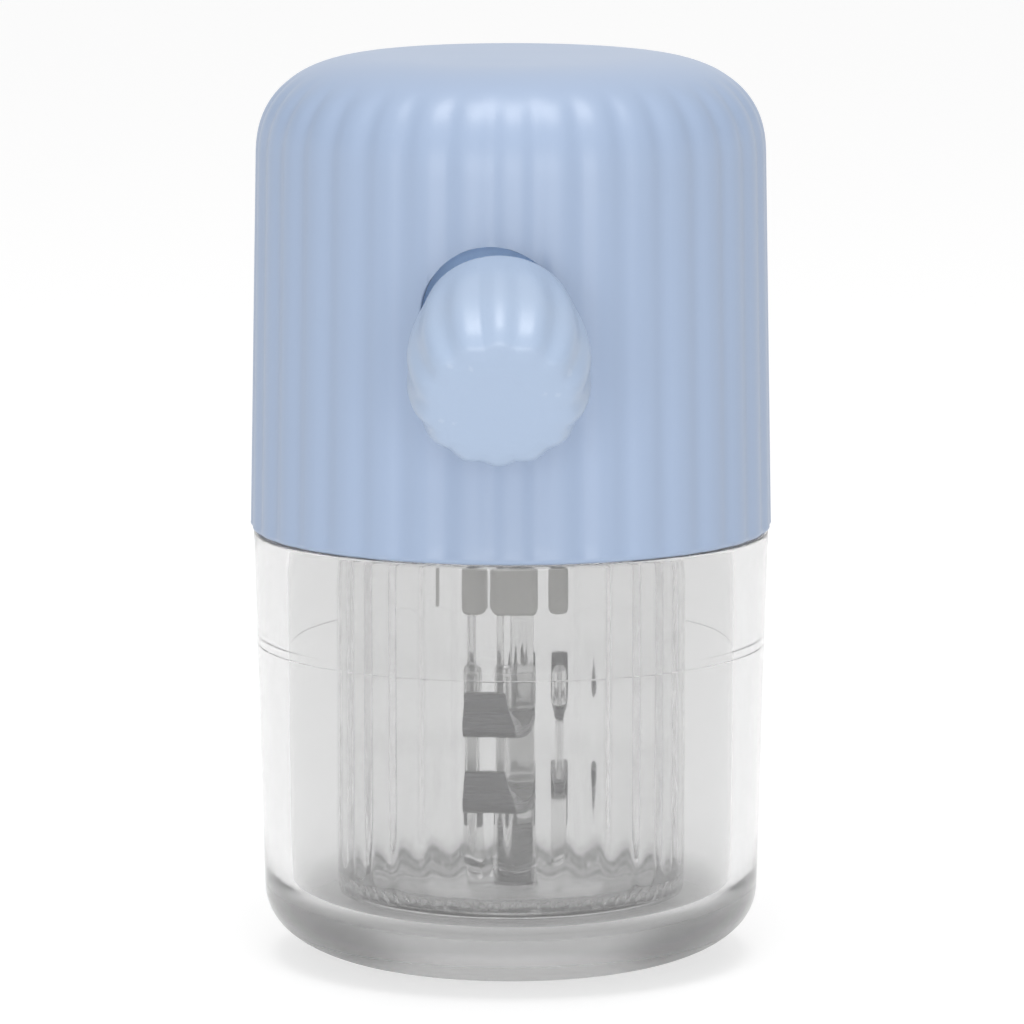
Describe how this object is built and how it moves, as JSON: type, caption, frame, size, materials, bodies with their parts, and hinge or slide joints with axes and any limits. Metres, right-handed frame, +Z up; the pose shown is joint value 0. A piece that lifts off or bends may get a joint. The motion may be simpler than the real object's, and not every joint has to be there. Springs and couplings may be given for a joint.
{
  "type": "pill crusher",
  "caption": "Hand-held pill grinder: a clear ribbed cup under a fluted cap whose knob pulls a sprung cord that spins a bladed rotor.",
  "frame": {"origin": "centre of the cup's flat foot face", "axes": "+Z up along the cup and cap, the pull knob faces -Y, +X to the right seen from the knob's side"},
  "size_m": [0.0518, 0.0699, 0.0904],
  "materials": {
    "blue_plastic": "satin moulded",
    "clear_plastic": "clear polished",
    "white_plastic": "natural moulded",
    "blade_steel": "stainless",
    "spring_steel": "oiled",
    "brass": "turned",
    "silicone": "matte",
    "cord": "braided"
  },
  "bodies": {
    "cup": {"clear_cup": "clear_plastic", "grinding_liner": "clear_plastic", "floor_pin": "blade_steel"},
    "rotor": {"rotor_shaft": "clear_plastic", "lower_blade": "blade_steel", "blade_spacer": "clear_plastic", "upper_blade": "blade_steel", "blade_nut": "clear_plastic"},
    "lid": {"cap_shell": "blue_plastic", "knob_socket": "blue_plastic", "cord_eyelet": "brass", "spring_case": "white_plastic", "recoil_spring": "spring_steel", "axle_pin": "blade_steel", "base_cover": "white_plastic", "seal_ring": "silicone", "drive_bush": "brass", "cover_screw_1": "blade_steel", "cover_screw_2": "blade_steel", "cover_screw_3": "blade_steel"},
    "reel": {"cord_reel": "white_plastic", "cord_winding": "cord", "ratchet_ring": "blade_steel", "reel_washer": "brass"},
    "drive": {"drive_hub": "white_plastic"},
    "clutch_pawl_1": {"pawl_1": "blade_steel"},
    "clutch_pawl_2": {"pawl_2": "blade_steel"},
    "cord_end": {"cord_bead": "blade_steel", "pull_cord": "cord"},
    "knob": {"knob_shell": "blue_plastic", "knob_back": "blue_plastic"}
  },
  "joints": [
    {"name": "rotor_spin", "type": "hinge", "parent": "cup", "child": "rotor", "pos_m": [0, 0, 0.0168], "axis": [0, 0, 1], "range_deg": [0, 1520]},
    {"name": "lid_lift", "type": "slide", "parent": "cup", "child": "lid", "axis": [0, 0, 1], "range_m": [0, 0.05]},
    {"name": "reel_spin", "type": "hinge", "parent": "lid", "child": "reel", "pos_m": [0, 0, 0.0673], "axis": [0, 0, 1], "range_deg": [0, 1520], "deforming": ["recoil_spring"]},
    {"name": "drive_spin", "type": "hinge", "parent": "lid", "child": "drive", "pos_m": [0, 0, 0.0575], "axis": [0, 0, 1], "range_deg": [0, 1520]},
    {"name": "pawl_1_flick", "type": "hinge", "parent": "drive", "child": "clutch_pawl_1", "pos_m": [0.0072, 0, 0.0602], "axis": [0, 0, -1], "range_deg": [0, 14], "stiffness_Nm_per_rad": 0.002, "springref_deg": -20.05},
    {"name": "pawl_2_flick", "type": "hinge", "parent": "drive", "child": "clutch_pawl_2", "pos_m": [-0.0072, 0, 0.0602], "axis": [0, 0, -1], "range_deg": [0, 14], "stiffness_Nm_per_rad": 0.002, "springref_deg": -20.05},
    {"name": "handle_pull", "type": "slide", "parent": "lid", "child": "cord_end", "axis": [0.0871, -0.996, -0.0209], "range_m": [0, 0.25], "stiffness_N_per_m": 15, "springref_m": -0.1, "deforming": ["pull_cord"]},
    {"name": "handle_tilt", "type": "hinge", "parent": "cord_end", "child": "knob", "pos_m": [0.00107, -0.02945, 0.06704], "axis": [-0.9962, -0.0872, 0], "range_deg": [0, 33]}
  ],
  "couplings": [
    {"joint": "reel_spin", "follows": "handle_pull", "rad_per_m": 105.26},
    {"joint": "drive_spin", "follows": "handle_pull", "rad_per_m": 105.26},
    {"joint": "rotor_spin", "follows": "handle_pull", "rad_per_m": 105.26}
  ]
}
